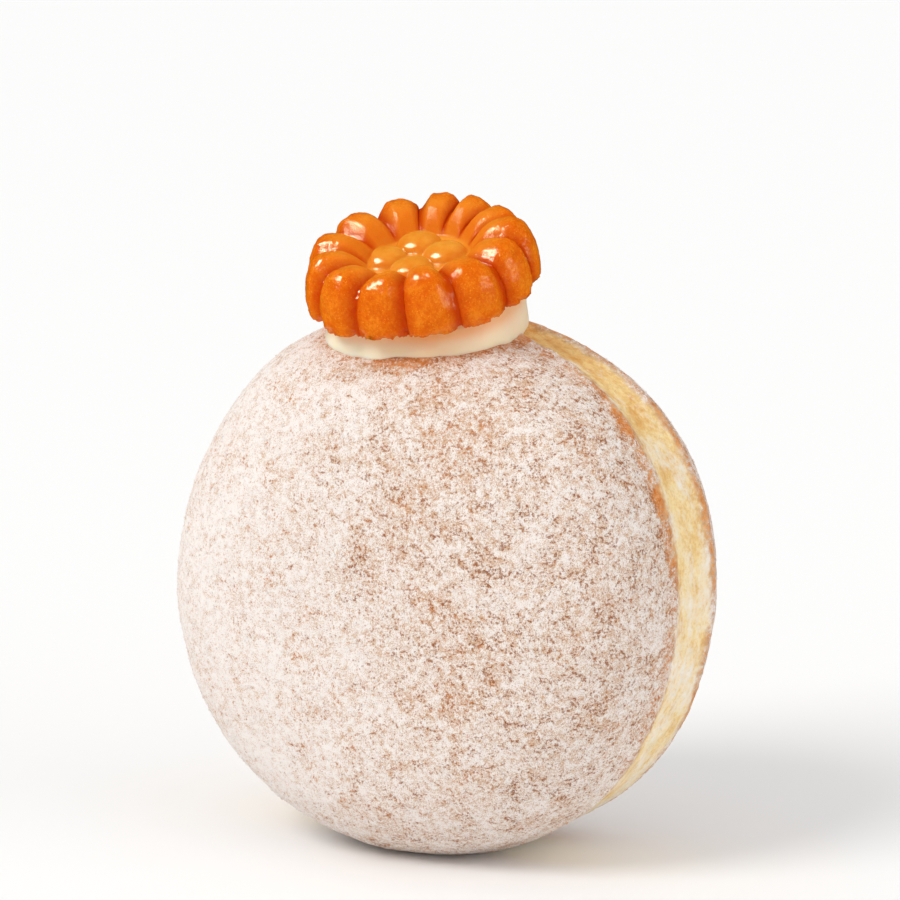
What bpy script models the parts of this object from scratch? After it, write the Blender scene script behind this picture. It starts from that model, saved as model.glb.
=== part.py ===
"""Round filled doughnut that stands on its rim, with custard cream and a glazed flower biscuit on top.

Metres. The powdered broad face looks along -Y, X runs across it, +Z is up, and the origin is the
middle of the small flat spot that the doughnut stands on.
"""
import math

import bpy
import numpy as np
from mathutils import Matrix

# Dough: a thick disc on its rim, its axis along Y, blunter at the front than at the back
DISC_RADIUS = 0.04245
DISC_WAVES = {2: (-0.0025, 0.0052), 3: (0.0063, 0.0005),
              4: (-0.0070, 0.0079), 5: (-0.0061, -0.0023)}
FRONT_DEPTH = 0.029
FRONT_POWER = 3.2
BACK_DEPTH = 0.024
BACK_POWER = 2.52
FOOT_SAG = 0.0010

# Pale waist band between the two browned crowns, as distances from the widest plane
BAND_FRONT_MEAN = -0.00364
BAND_FRONT_WAVES = {1: (-0.00353, 0.00351), 2: (0.00021, -0.00088)}
BAND_BACK_MEAN = 0.00513
BAND_BACK_WAVES = {1: (-0.00070, -0.00011)}
BAND_GROOVE = 0.0009
BAND_GROOVE_POWER = 0.7
BAND_GROOVE_LEAST = 0.3

# Dough mesh: segments round the axis, and rows on the front crown, band and back crown
DOUGH_SEGMENTS = 68
FRONT_ROWS = 11
BAND_ROWS = 6
BACK_ROWS = 9
PROFILE_SAMPLES = 400

# Flower biscuit: the middle of its flat underside, measured from the disc's centre, and its lean
FLOWER_X = -0.0020
FLOWER_Y = -0.0060
FLOWER_RISE = 0.0457
FLOWER_LEAN = math.radians(16.2)
FLOWER_ROLL = math.radians(-1.3)
FLOWER_TURN = math.radians(-140.8)

# Petals: each has a steep outer wall, a crest and a long slope down to the flower's middle
PETALS = 13
PETAL_SPACING_WAVES = {1: (-0.030, 0.066), 2: (0.046, 0.002)}
PETAL_REACH_WAVES = {3: (0.008, 0.010), 5: (-0.010, 0.008)}
PETAL_HEIGHT_WAVES = {4: (0.015, -0.012), 5: (0.010, 0.018)}
SLOPE_POWER = 2.8
PETAL_OUTER = 0.01825
PETAL_CREST = 0.01435
PETAL_HEIGHT = 0.00945
PETAL_POWER = 2.35
PETAL_ROUNDNESS = 2.7
PETAL_FULLNESS = 0.62
PETAL_FACET_SLOPE = 1.45
GROOVE_OUTER = 0.01675
GROOVE_CREST = 0.0135
GROOVE_HEIGHT = 0.0070
FOOT_TUCK = 0.0006
FOOT_TUCK_HEIGHT = 0.0034
PETAL_SEGMENTS = 8
WALL_ROWS = 7
SLOPE_ROWS = 5

# Four round lobes in the middle of the flower
HEART_LOBES = 4
HEART_RADIUS = 0.0080
HEART_EDGE = 0.0057
HEART_FLOOR = 0.0056
HEART_LOBE_DISTANCE = 0.0046
HEART_LOBE_RADIUS = 0.0034
HEART_LOBE_HEIGHT = 0.0018
HEART_SHIFT_X = 0.00045
HEART_SHIFT_Y = -0.00070
HEART_ROWS = 7
HEART_TURN = math.radians(-19.0)

# Custard cream: a collar under the flower, a neck through the rim and a core in the middle
GAP = 0.0003
CREAM_SINK = 0.0008
COLLAR_X = -0.0022
COLLAR_Y = -0.0046
COLLAR_RADIUS = 0.0156
COLLAR_WAVES = {4: (-0.017, -0.029)}
COLLAR_FLARE = 0.0004
COLLAR_EDGE = 0.0008
COLLAR_ROWS = 5
COLLAR_SHOULDER = 0.9
COLLAR_TOP_RINGS = (0.4, 0.75)
NECK_RADIUS = 0.0085
NECK_LENGTH = 0.0100
CORE_RADIUS_X = 0.0150
CORE_RADIUS_Y = 0.0110
CORE_CENTRE_Y = -0.0025
CORE_BOTTOM = -0.0060
CORE_ROWS = 9
CORE_LAST_ROW = 0.94
CORE_DOWN_POWER = 1.4
CORE_SWELL_POWER = 0.9
CORE_NECK_SHARE = 0.4
CREAM_SEGMENTS = 40

SHARP_ANGLE = math.radians(40.0)
DOUGH_COLOUR = (0.78, 0.60, 0.44, 1.0)
CREAM_COLOUR = (0.88, 0.66, 0.36, 1.0)
FLOWER_COLOUR = (0.70, 0.14, 0.012, 1.0)


def waves(angle, terms):
    """Sum of cosines and sines round the disc, one pair of shares for each count of waves."""
    total = 0.0
    for count, (cosine, sine) in terms.items():
        total += cosine * math.cos(count * angle) + sine * math.sin(count * angle)
    return total


def disc_radius(angle):
    return DISC_RADIUS * (1.0 + waves(angle, DISC_WAVES))


def band_edges(angle):
    front = BAND_FRONT_MEAN + waves(angle, BAND_FRONT_WAVES)
    back = BAND_BACK_MEAN + waves(angle, BAND_BACK_WAVES)
    return front, back


def crown_share(y):
    """Radius at a distance from the widest plane, as a share of the radius there."""
    depth, power = (FRONT_DEPTH, FRONT_POWER) if y < 0.0 else (BACK_DEPTH, BACK_POWER)
    inside = max(0.0, 1.0 - (abs(y) / depth) ** power)
    return inside ** (1.0 / power)


def crown_profile(depth, power, side):
    """Share of the radius, y and arc length from the pole of one crown to the widest plane."""
    turn = np.linspace(math.pi / 2.0, 0.0, PROFILE_SAMPLES)
    share = np.cos(turn) ** (2.0 / power)
    share[0] = 0.0
    y = side * depth * np.sin(turn) ** (2.0 / power)
    steps = np.hypot(np.diff(share * DISC_RADIUS), np.diff(y))
    length = np.concatenate(([0.0], np.cumsum(steps)))
    return share, y, length


def crown_rows(profile, edge, rows):
    """Evenly spaced (share, y) stations from next to the pole as far as the band's edge."""
    share, y, length = profile
    edge_length = np.interp(abs(edge), abs(y[::-1]), length[::-1])
    stations = np.linspace(0.0, edge_length, rows + 1)[1:]
    return list(zip(np.interp(stations, length, share), np.interp(stations, length, y)))


def groove_depth(angle, across):
    """Depth of the waist's groove, deepest beside the hole in the top; across runs from 0 to 1."""
    fade = 0.5 + 0.5 * math.sin(angle)
    share = BAND_GROOVE_LEAST + (1.0 - BAND_GROOVE_LEAST) * fade
    return BAND_GROOVE * share * math.sin(math.pi * across) ** BAND_GROOVE_POWER


def dough_station_list(angle, front_profile, back_profile):
    """Radius and y of every row at one angle round the disc, from the front pole to the back pole."""
    radius = disc_radius(angle)
    front_edge, back_edge = band_edges(angle)
    stations = []
    for share, y in crown_rows(front_profile, front_edge, FRONT_ROWS):
        stations.append((radius * share, y))
    for row in range(1, BAND_ROWS):
        across = row / BAND_ROWS
        y = front_edge + (back_edge - front_edge) * across
        stations.append((radius * crown_share(y) - groove_depth(angle, across), y))
    for share, y in reversed(crown_rows(back_profile, back_edge, BACK_ROWS)):
        stations.append((radius * share, y))
    return stations


def disc_centre_height():
    return disc_radius(-math.pi / 2.0) - FOOT_SAG


def dough_mesh():
    front_profile = crown_profile(FRONT_DEPTH, FRONT_POWER, -1.0)
    back_profile = crown_profile(BACK_DEPTH, BACK_POWER, 1.0)
    centre = disc_centre_height()
    columns = []
    for segment in range(DOUGH_SEGMENTS):
        angle = -math.pi / 2.0 + 2.0 * math.pi * segment / DOUGH_SEGMENTS
        column = []
        for radius, y in dough_station_list(angle, front_profile, back_profile):
            x = radius * math.cos(angle)
            z = max(0.0, centre + radius * math.sin(angle))
            column.append((x, y, z))
        columns.append(column)
    rings = [list(ring) for ring in zip(*columns)]
    front_pole = (0.0, -FRONT_DEPTH, centre)
    back_pole = (0.0, BACK_DEPTH, centre)
    return ringed_mesh("dough", rings, front_pole, back_pole)


def ringed_mesh(name, rings, first_pole, last_pole):
    """Closed mesh of rings with a pole at each end, wound so that its faces point out."""
    count = len(rings[0])
    points = [point for ring in rings for point in ring]
    first = len(points)
    last = first + 1
    points += [first_pole, last_pole]
    faces = []
    for segment in range(count):
        after = (segment + 1) % count
        faces.append((first, segment, after))
        for ring in range(len(rings) - 1):
            low = ring * count
            high = low + count
            faces.append((low + segment, high + segment, high + after, low + after))
        end = (len(rings) - 1) * count
        faces.append((last, end + after, end + segment))
    mesh = bpy.data.meshes.new(name)
    mesh.from_pydata(points, [], faces)
    mesh.validate()
    if signed_volume(mesh) < 0.0:
        mesh.flip_normals()
    return mesh


def signed_volume(mesh):
    mesh.calc_loop_triangles()
    total = 0.0
    for triangle in mesh.loop_triangles:
        a, b, c = (mesh.vertices[index].co for index in triangle.vertices)
        total += a.dot(b.cross(c)) / 6.0
    return total


def dough_top(x, y):
    """Height of the dough's upper surface over a point, from its smooth form."""
    share = crown_share(y)
    reach = DISC_RADIUS * share
    for _ in range(4):
        angle = math.atan2(math.sqrt(max(0.0, reach * reach - x * x)), x)
        reach = disc_radius(angle) * share
    return disc_centre_height() + math.sqrt(max(0.0, reach * reach - x * x))


def flower_frame():
    """Place of the flower: origin in the middle of its underside, Z square to its flat side."""
    place = Matrix.Translation((FLOWER_X, FLOWER_Y, disc_centre_height() + FLOWER_RISE))
    lean = Matrix.Rotation(FLOWER_LEAN, 4, "X")
    roll = Matrix.Rotation(FLOWER_ROLL, 4, "Y")
    turn = Matrix.Rotation(FLOWER_TURN, 4, "Z")
    return place @ lean @ roll @ turn


def flower_underside(x, y):
    """Height of the plane that the flower's underside lies in."""
    frame = flower_frame()
    middle = frame.translation
    square = frame.col[2]
    drop = ((x - middle.x) * square.x + (y - middle.y) * square.y) / square.z
    return middle.z - drop


def smooth_step(value):
    value = min(1.0, max(0.0, value))
    return value * value * (3.0 - 2.0 * value)


def collar_ring(radius, share_up, angles, margin):
    """Ring round the collar: share_up is 0 in the dough's imprint and 1 under the flower."""
    ring = []
    for angle in angles:
        reach = radius * (1.0 + waves(angle, COLLAR_WAVES))
        x = COLLAR_X + reach * math.cos(angle)
        y = COLLAR_Y + reach * math.sin(angle)
        low = dough_top(x, y) - CREAM_SINK - margin
        high = flower_underside(x, y) - GAP
        ring.append((x, y, low + (high - low) * share_up))
    return ring


def cream_mesh(name, margin):
    """Collar, neck and core in one; a margin swells all that lies in the dough."""
    angles = [2.0 * math.pi * step / CREAM_SEGMENTS for step in range(CREAM_SEGMENTS)]
    rings = [collar_ring(share * COLLAR_RADIUS, 1.0, angles, margin) for share in COLLAR_TOP_RINGS]
    rings.append(collar_ring(COLLAR_RADIUS - COLLAR_EDGE + margin, 1.0, angles, margin))
    for row in range(COLLAR_ROWS + 1):
        share_up = COLLAR_SHOULDER * (1.0 - row / COLLAR_ROWS)
        radius = COLLAR_RADIUS + COLLAR_FLARE * (1.0 - share_up) ** 2 + margin
        rings.append(collar_ring(radius, share_up, angles, margin))
    rings.append(collar_ring(0.5 * (COLLAR_RADIUS + NECK_RADIUS), 0.0, angles, margin))
    rings.append(collar_ring(NECK_RADIUS + margin, 0.0, angles, margin))
    rings += core_rings(angles, margin)
    centre = disc_centre_height()
    top = (COLLAR_X, COLLAR_Y, flower_underside(COLLAR_X, COLLAR_Y) - GAP)
    bottom = (0.0, CORE_CENTRE_Y, centre + CORE_BOTTOM - margin)
    return ringed_mesh(name, rings, top, bottom)


def core_rings(angles, margin):
    """Rings from the foot of the neck down round the core."""
    neck_foot = dough_top(COLLAR_X, COLLAR_Y) - CREAM_SINK - NECK_LENGTH
    bottom = disc_centre_height() + CORE_BOTTOM - margin
    rings = []
    for row in range(CORE_ROWS):
        turn = CORE_LAST_ROW * row / (CORE_ROWS - 1)
        down = math.sin(0.5 * math.pi * turn) ** CORE_DOWN_POWER
        height = neck_foot + (bottom - neck_foot) * down
        swell = math.sqrt(math.sin(math.pi * down ** CORE_SWELL_POWER)) if 0.0 < down < 1.0 else 0.0
        radius_x = NECK_RADIUS * (1.0 - down) + (CORE_RADIUS_X - NECK_RADIUS * CORE_NECK_SHARE) * swell
        radius_y = NECK_RADIUS * (1.0 - down) + (CORE_RADIUS_Y - NECK_RADIUS * CORE_NECK_SHARE) * swell
        middle_x = COLLAR_X * (1.0 - down)
        middle_y = COLLAR_Y + (CORE_CENTRE_Y - COLLAR_Y) * smooth_step(down)
        ring = []
        for angle in angles:
            x = middle_x + (radius_x + margin) * math.cos(angle)
            y = middle_y + (radius_y + margin) * math.sin(angle)
            ring.append((x, y, height))
        rings.append(ring)
    return rings


def wall_point(turn, outer, crest, height):
    """Radius and height on an outer wall, from its tucked-in foot at 0 to its crest at 90 degrees."""
    power = 2.0 / PETAL_POWER
    rise = height * max(0.0, math.sin(turn)) ** power
    radius = crest + (outer - crest) * max(0.0, math.cos(turn)) ** power
    tuck = FOOT_TUCK * max(0.0, 1.0 - rise / FOOT_TUCK_HEIGHT) ** 2
    return radius - tuck, rise


def slope_point(share, crest, height):
    """Radius and height on the slope from a crest, at 0, to the flower's middle, at 1."""
    radius = crest + (HEART_RADIUS - crest) * share
    rise = HEART_EDGE + (height - HEART_EDGE) * (1.0 - share ** SLOPE_POWER)
    return radius, rise


def petal_line(outer, crest, height):
    """Points (radius, height) of one radial line, from the flower's middle out to the foot."""
    line = []
    for row in range(SLOPE_ROWS, 0, -1):
        line.append(slope_point(row / SLOPE_ROWS, crest, height))
    for row in range(WALL_ROWS, -1, -1):
        line.append(wall_point(0.5 * math.pi * row / WALL_ROWS, outer, crest, height))
    return line


def petal_ridge(offset):
    """Height across a petal, 1 on its ridge and 0 in the grooves: rounded, with a flat right flank."""
    rounded = max(0.0, 1.0 - abs(offset) ** PETAL_ROUNDNESS) ** PETAL_FULLNESS
    if offset > 0.0:
        return min(rounded, PETAL_FACET_SLOPE * (1.0 - offset))
    return rounded


def petal_column(base, ridge):
    """Points of one radial line over the petals, at an angle before their uneven spacing."""
    reach = 1.0 + waves(base, PETAL_REACH_WAVES)
    tall = 1.0 + waves(base, PETAL_HEIGHT_WAVES)
    angle = base + waves(base, PETAL_SPACING_WAVES)
    top_line = petal_line(PETAL_OUTER * reach, PETAL_CREST * reach, PETAL_HEIGHT * tall)
    low_line = petal_line(GROOVE_OUTER * reach, GROOVE_CREST * reach, GROOVE_HEIGHT * tall)
    column = []
    for (top_radius, top_rise), (low_radius, low_rise) in zip(top_line, low_line):
        radius = low_radius + (top_radius - low_radius) * ridge
        rise = low_rise + (top_rise - low_rise) * ridge
        column.append((radius * math.cos(angle), radius * math.sin(angle), rise))
    return column


def heart_height(x, y):
    """Height of the four-lobed middle."""
    height = HEART_FLOOR
    for lobe in range(HEART_LOBES):
        angle = HEART_TURN + 2.0 * math.pi * lobe / HEART_LOBES
        away = math.hypot(x - HEART_SHIFT_X - HEART_LOBE_DISTANCE * math.cos(angle),
                          y - HEART_SHIFT_Y - HEART_LOBE_DISTANCE * math.sin(angle))
        dome = max(0.0, 1.0 - (away / HEART_LOBE_RADIUS) ** 2)
        height = max(height, HEART_FLOOR + HEART_LOBE_HEIGHT * math.sqrt(dome))
    return height


def flower_mesh():
    segments = PETALS * PETAL_SEGMENTS
    columns = []
    for segment in range(segments):
        petal = (segment + PETAL_SEGMENTS // 2) // PETAL_SEGMENTS
        step = segment - petal * PETAL_SEGMENTS
        offset = math.sin(math.pi * step / PETAL_SEGMENTS)
        base = 2.0 * math.pi * (petal + 0.5 * offset) / PETALS
        angle = base + waves(base, PETAL_SPACING_WAVES)
        inner = []
        for row in range(1, HEART_ROWS):
            radius = HEART_RADIUS * row / HEART_ROWS
            x = radius * math.cos(angle)
            y = radius * math.sin(angle)
            inner.append((x, y, heart_height(x, y)))
        columns.append(inner + petal_column(base, petal_ridge(offset)))
    rings = [list(ring) for ring in zip(*columns)]
    top = (0.0, 0.0, heart_height(0.0, 0.0))
    underside = (0.0, 0.0, 0.0)
    return ringed_mesh("flower_biscuit", rings, top, underside)


def plain_material(name, colour, roughness):
    material = bpy.data.materials.new(name)
    material.diffuse_color = colour
    material.use_nodes = True
    shader = material.node_tree.nodes["Principled BSDF"]
    shader.inputs["Base Color"].default_value = colour
    shader.inputs["Roughness"].default_value = roughness
    shader.inputs["Metallic"].default_value = 0.0
    return material


def add_object(name, mesh, material):
    mesh.materials.append(material)
    piece = bpy.data.objects.new(name, mesh)
    bpy.context.scene.collection.objects.link(piece)
    mesh.shade_smooth()
    mesh.set_sharp_from_angle(angle=SHARP_ANGLE)
    return piece


def add_cutter(name, mesh):
    cutter = bpy.data.objects.new(name, mesh)
    bpy.context.scene.collection.objects.link(cutter)
    cutter.hide_render = True
    cutter.display_type = "WIRE"
    return cutter


def clear_scene():
    for old in list(bpy.data.objects):
        bpy.data.objects.remove(old, do_unlink=True)


def main():
    clear_scene()
    dough = add_object("dough", dough_mesh(), plain_material("powdered_crust", DOUGH_COLOUR, 0.85))
    cutter = add_cutter("cream_room", cream_mesh("cream_room", GAP))
    cut = dough.modifiers.new("cream room", "BOOLEAN")
    cut.operation = "DIFFERENCE"
    cut.object = cutter
    add_object("cream", cream_mesh("cream", 0.0), plain_material("custard_cream", CREAM_COLOUR, 0.45))
    flower = add_object("flower_biscuit", flower_mesh(),
                        plain_material("amber_glaze", FLOWER_COLOUR, 0.2))
    flower.matrix_world = flower_frame()


main()
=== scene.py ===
"""Looks of the filled doughnut: sugar-dusted dough, custard cream filling and glazed flower biscuit.

Metres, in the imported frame: -Y is the broad powdered face, X runs across it, +Z is up.
"""
import itertools
import math

import bpy
import numpy as np
from mathutils import Matrix, Vector, noise


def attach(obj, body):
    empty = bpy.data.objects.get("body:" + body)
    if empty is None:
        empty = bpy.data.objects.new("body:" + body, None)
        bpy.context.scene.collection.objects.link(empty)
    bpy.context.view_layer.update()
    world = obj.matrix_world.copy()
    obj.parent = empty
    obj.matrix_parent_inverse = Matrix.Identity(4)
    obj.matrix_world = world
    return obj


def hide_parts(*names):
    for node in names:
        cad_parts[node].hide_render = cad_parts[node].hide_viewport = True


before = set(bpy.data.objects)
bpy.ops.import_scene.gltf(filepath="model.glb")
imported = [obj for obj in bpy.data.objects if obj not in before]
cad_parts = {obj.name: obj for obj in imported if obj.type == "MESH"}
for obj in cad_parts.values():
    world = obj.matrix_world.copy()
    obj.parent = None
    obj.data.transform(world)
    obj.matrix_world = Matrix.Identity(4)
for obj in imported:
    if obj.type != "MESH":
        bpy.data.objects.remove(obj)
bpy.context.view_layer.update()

# Camera, as fitted to the photograph
VIEW_AZIMUTH = math.radians(28.0)
VIEW_ELEVATION = math.radians(12.0)
VIEW_DISTANCE = 1.0
PIXELS_PER_METRE = 6450.0
IMAGE_SIZE = 900
SENSOR_WIDTH = 36.0
CLIP_START = 0.01
DISC_PIXEL_X = 454.2
DISC_PIXEL_Y = 575.8

# Dough: the same form as the CAD node
DISC_RADIUS = 0.04245
DISC_WAVES = {2: (-0.0025, 0.0052), 3: (0.0063, 0.0005),
              4: (-0.0070, 0.0079), 5: (-0.0061, -0.0023)}
FRONT_DEPTH = 0.029
FRONT_POWER = 3.2
BACK_DEPTH = 0.024
BACK_POWER = 2.52
FOOT_SAG = 0.0010
BAND_FRONT_MEAN = -0.00364
BAND_FRONT_WAVES = {1: (-0.00353, 0.00351), 2: (0.00021, -0.00088)}
BAND_BACK_MEAN = 0.00513
BAND_BACK_WAVES = {1: (-0.00070, -0.00011)}
BAND_GROOVE = 0.0009
BAND_GROOVE_ROUNDNESS = 0.7
BAND_GROOVE_LEAST = 0.3
PROFILE_SAMPLES = 800
DOUGH_CELLS = 126

# Relief of the dough's skin, sizes and depths
SWELL_SIZE = 0.013
SWELL_DEPTH = 0.00022
SKIN_SIZE = 0.0036
SKIN_DEPTH = 0.00007
POWDER_DEPTH = 0.00016
POWDER_LEVEL = 0.6
PUFF_SIZE = 0.0011
PUFF_DEPTH = 0.00008
CRUST_LIP = 0.00028
LIP_PLACE = 0.0013
LIP_WIDTH = 0.0011
BAND_STREAK_SIZE = 0.0013
BAND_STREAK_DEPTH = 0.00006
RIM_STRETCH = 0.4

# Waist band's edges: how ragged they are, and over what distance crust turns into band
RAGGED_WIDE_SIZE = 0.006
RAGGED_WIDE = 0.0009
RAGGED_FINE_SIZE = 0.0014
RAGGED_FINE = 0.0006
FRONT_EDGE = (-0.0016, 0.0018)
BACK_EDGE = (-0.0012, 0.0014)

# Powder on the crust: its mean share, and what each cause adds to it
POWDER_MEAN = 0.64
POWDER_LEFT = 0.21
POWDER_LOW = 0.06
POWDER_CLUSTERS = 0.13
POWDER_PATCHES = 0.04
POWDER_PUFFS = 0.05
CLUSTER_SIZE = 0.0048
PATCH_SIZE = 0.017
LEFT_SIDE = (0.004, -0.030)
LEFT_LEAN = 0.25
LEFT_SHIFT = 0.02
FRONT_SIDE = (0.006, -0.006)
RIGHT_SIDE = (-0.005, 0.025)
UNDERSIDE = (-0.55, -0.95)

# Bare strip of crust in front of the band: where round the disc it is widest, and how far it runs
STRIP_ANGLE = math.radians(28.0)
STRIP_SPREAD = math.radians(26.0)
STRIP_EDGE = (-0.0052, -0.0012)
STRIP_END = (0.0015, -0.0003)
STRIP_DEPTH = 0.60
STRIP_SHOW = 0.80
STRIP_BREAKS = 1.1
STRIP_BREAK_SIZE = 0.0045

# Thinly powdered strip behind the band
BACK_STRIP_EDGE = (-0.0060, -0.0010)
BACK_STRIP_DEPTH = 0.38
BACK_STRIP_SHOW = 0.6
BACK_STRIP_SIZE = 0.008

# Powder on the band: its mean share, and what each cause adds to it
BAND_POWDER_MEAN = 0.42
BAND_POWDER_LOW = 0.06
BAND_POWDER_HIGH = -0.16
BAND_POWDER_PATCHES = 0.36
BAND_POWDER_CLUSTERS = 0.16
BAND_POWDER_PUFFS = 0.10
BAND_PATCH_SIZE = 0.0050
LOW_PART = (0.1, -0.6)
HIGH_PART = (0.35, 0.95)

# Browning of the crust, 0 pale to 1 dark, and what each cause adds to it
TOAST_MEAN = 0.58
TOAST_RIGHT = 0.14
TOAST_LEFT = -0.25
TOAST_PATCHES = 0.15
TOAST_STRIP = -0.35
TOAST_BACK_STRIP = -0.50
TOAST_FLECKS = 0.2
TOAST_FLECK_SIZE = 0.0022
BAND_TOAST = 0.5
BAND_TOAST_HIGH = 0.75

# Crust that shows through the sugar beside the cream collar
COLLAR_BARE = 0.28
COLLAR_BARE_PLACE = 0.0004
COLLAR_BARE_WIDTH = 0.0016
COLLAR_BARE_LEFT = 0.6
COLLAR_LEVEL = 0.07

# Sugar clumps that stand on the powder
CLUMP_COUNT = 7000
CLUMP_RADIUS = (0.00007, 0.00019)
CLUMP_SEED = 5
CLUMP_SMALLNESS = 2.2
CLUMP_UNEVENNESS = (0.65, 1.25)
CLUMP_FLATTENING = 0.35
CLUMP_LIFT = 0.3
CLUMP_SLIDE = 0.00012
CLUMP_LEAST_POWDER = 0.35
CLUMP_LOWEST = 0.002
CLUMP_COLLAR_ROOM = 0.001
CLUMPS_ON_BAND = 0.2
EDGE_TOLERANCE = 0.01

# Flower biscuit, as in the CAD node
FLOWER_X = -0.0020
FLOWER_Y = -0.0060
FLOWER_RISE = 0.0457
FLOWER_LEAN = math.radians(16.2)
FLOWER_ROLL = math.radians(-1.3)
FLOWER_TURN = math.radians(-140.8)
PETALS = 13
PETAL_SPACING_WAVES = {1: (-0.030, 0.066), 2: (0.046, 0.002)}
PETAL_REACH_WAVES = {3: (0.008, 0.010), 5: (-0.010, 0.008)}
PETAL_HEIGHT_WAVES = {4: (0.015, -0.012), 5: (0.010, 0.018)}
SLOPE_POWER = 2.8
PETAL_OUTER = 0.01825
PETAL_CREST = 0.01435
PETAL_HEIGHT = 0.00945
PETAL_POWER = 2.35
PETAL_ROUNDNESS = 2.7
PETAL_FULLNESS = 0.62
PETAL_FACET_SLOPE = 1.45
GROOVE_OUTER = 0.01675
GROOVE_CREST = 0.0135
GROOVE_HEIGHT = 0.0070
FOOT_TUCK = 0.0006
FOOT_TUCK_HEIGHT = 0.0034
PETAL_SEGMENTS = 32
WALL_ROWS = 40
SLOPE_ROWS = 34
HEART_LOBES = 4
HEART_RADIUS = 0.0080
HEART_EDGE = 0.0057
HEART_FLOOR = 0.0056
HEART_LOBE_DISTANCE = 0.0046
HEART_LOBE_RADIUS = 0.0034
HEART_LOBE_HEIGHT = 0.0018
HEART_SHIFT_X = 0.00045
HEART_SHIFT_Y = -0.00070
HEART_FADE_FROM = 0.86
HEART_ROWS = 34
HEART_TURN = math.radians(-19.0)

# Finer form of the flower: a seam in each groove, crumbs along the foot and a grainy skin
SEAM_WIDTH = 0.10
SEAM_HEIGHT = 0.16
CRUMB_SIZE = 0.0011
CRUMB_HEIGHT = 0.0016
CRUMB_DEPTH = 0.00060
GRAIN_SIZE = 0.0010
GRAIN_DEPTH = 0.00008
DIMPLE_SIZE = 0.0042
DIMPLE_DEPTH = 0.00016
ROUGH_START = 0.002
LOBE_BLEND = 5

# Where the flower's colours change, by distance from its middle; the lighter middle and inner slopes carry
# painted glow, the darker valley painted shade
HEART_COLOUR_EDGE = (0.88, 1.12)
INNER_COLOUR_EDGE = (0.0012, -0.0030)
VALLEY_OUTER = 0.0128
VALLEY_INNER = 0.0098
VALLEY_START = 0.80

# Custard cream
GAP = 0.0003
CREAM_SINK = 0.0008
COLLAR_X = -0.0022
COLLAR_Y = -0.0046
COLLAR_RADIUS = 0.0156
COLLAR_WAVES = {4: (-0.017, -0.029)}
COLLAR_FLARE = 0.0004
COLLAR_ROWS = 26
COLLAR_SEGMENTS = 220
COLLAR_TOP_RINGS = (0.02, 0.4, 0.8, 0.93)
COLLAR_FOOT_RINGS = (0.9, 0.7)
COLLAR_CORNER_INSET = 0.0006
COLLAR_CORNER_DEPTH = 0.0007
COLLAR_CORNER_POWER = 7
COLLAR_EDGE_POWER = 8
COLLAR_INSET = 0.00030
FOLD_DEPTH = 0.00022
FOLDS_ROUND = 2.2
FOLDS_UP = 1.3
FOLD_SHIFT = Vector((4.0, 0.0, 2.0))
WAIST_DEPTH = 0.00016
WAIST_LIFT = 0.15
IMPRINT_INSET = 0.0005
NECK_RADIUS = 0.0085
NECK_LENGTH = 0.0100
CORE_RADIUS_X = 0.0150
CORE_RADIUS_Y = 0.0110
CORE_CENTRE_Y = -0.0025
CORE_BOTTOM = -0.0060
CORE_ROWS = 18
CORE_LAST_ROW = 0.94
CORE_DOWN_POWER = 1.4
CORE_SWELL_POWER = 0.9
CORE_NECK_SHARE = 0.4
ROOM_SEGMENTS = 96
ROOM_TOP = 0.003

# Syrup that has run into the cream, together with painted shade and orange bounce light from the biscuit:
# below the biscuit's middle, on the right and under its edge
SYRUP_SHADE_MIDDLE = 0.30
SYRUP_SHADE_MIDDLE_PLACE = -0.15
SYRUP_SHADE_MIDDLE_WIDTH = 0.40
SYRUP_SHADE_RIGHT = 0.18
SYRUP_SHADE_RIGHT_EDGE = (-0.3, 0.2)
SYRUP_SHADE_TOP = 0.45
SYRUP_SHADE_TOP_EDGE = (0.38, 0.74)

# Ramps of colour: place along the ramp, then the screen colour
CRUST_RAMP = ((0.1, (246, 170, 94)), (0.5, (212, 120, 44)), (0.95, (146, 74, 22)))
SUGAR_RAMP = ((0.05, (202, 162, 128)), (0.35, (217, 196, 180)), (0.58, (229, 216, 207)),
              (0.84, (237, 230, 226)))
BAND_RAMP = ((0.1, (228, 164, 82)), (0.36, (243, 203, 132)), (0.55, (252, 223, 162)),
             (0.85, (254, 236, 194)))
CLUMP_RAMP = ((0.3, (232, 222, 216)), (0.7, (240, 236, 235)))
CREAM_RAMP = ((0.3, (255, 234, 200)), (0.7, (255, 241, 216)))
AMBER_RAMP = ((0.24, (219, 92, 5)), (0.48, (228, 108, 9)), (0.74, (240, 133, 26)))
# Middle of the flower: its own yellower glaze, lightened further by painted glow
HEART_GLOW_RAMP = ((0.3, (226, 128, 26)), (0.7, (238, 157, 54)))

# Sockets of the colour mix node, by number, as several of them share a name
MIX_FIRST = 6
MIX_SECOND = 7
MIX_RESULT = 2

# Single screen colours
BAND_POWDER_COLOUR = (245, 236, 222)
# Syrup in the cream, which also carries the painted shade and orange bounce light under the biscuit
SYRUP_SHADE_COLOUR = (248, 162, 74)
# Paler flecks of the grain, partly painted glints of light
FLECK_GLINT_COLOUR = (250, 164, 52)
# Painted light: lighter amber on the inner slopes, standing in for light glowing through the syrup
INNER_GLOW_COLOUR = (243, 144, 40)
# Painted shade: deeper orange in the valley round the flower's middle
VALLEY_SHADE_COLOUR = (216, 104, 18)
# Painted shade: dark red in the grooves between the petals
GROOVE_SHADE_COLOUR = (198, 54, 0)

# Bare specks between the sugar: how far each noise and the powder push them, and their soft edge
BARE_CLUSTERS = 2.0
BARE_SPECKS = 4.6
BARE_GRAIN = 1.8
BARE_POWDER = 1.6
BARE_LEVEL = 0.6
BARE_FROM = 0.19
BARE_TO = 0.58

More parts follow.
